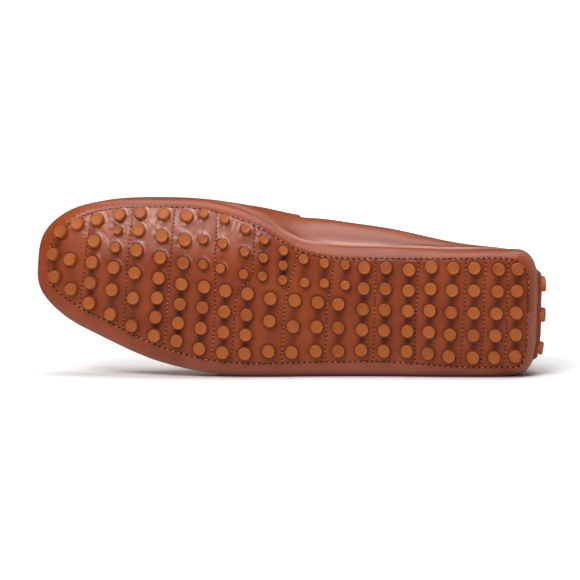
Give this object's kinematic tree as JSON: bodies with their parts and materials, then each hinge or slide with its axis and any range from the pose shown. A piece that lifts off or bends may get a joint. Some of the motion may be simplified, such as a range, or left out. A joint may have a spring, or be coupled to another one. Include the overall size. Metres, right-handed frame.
{
  "type": "driving moccasin",
  "caption": "Right driving moccasin in brown leather, lying on its outer side: hollow upper with raised apron seam, saddle strap and collar binding, sole and heel patch with rubber studs",
  "frame": {"origin": "middle of the object's box, on the floor that it lies on", "axes": "+X from the toe to the heel, +Y from the sole up through the shoe, +Z from the outer side, which lies on the floor, to the inner side"},
  "size_m": [0.291, 0.078, 0.1018],
  "materials": {
    "leather": "glossy",
    "stud_rubber": "satin",
    "insole_leather": "matte",
    "binding_leather": "satin"
  },
  "bodies": {
    "root": {"upper": "leather", "sole": "stud_rubber", "insole": "insole_leather", "saddle_strap": "leather", "moc_seam": "leather", "collar_binding": "binding_leather", "heel_patch": "stud_rubber"}
  },
  "joints": []
}
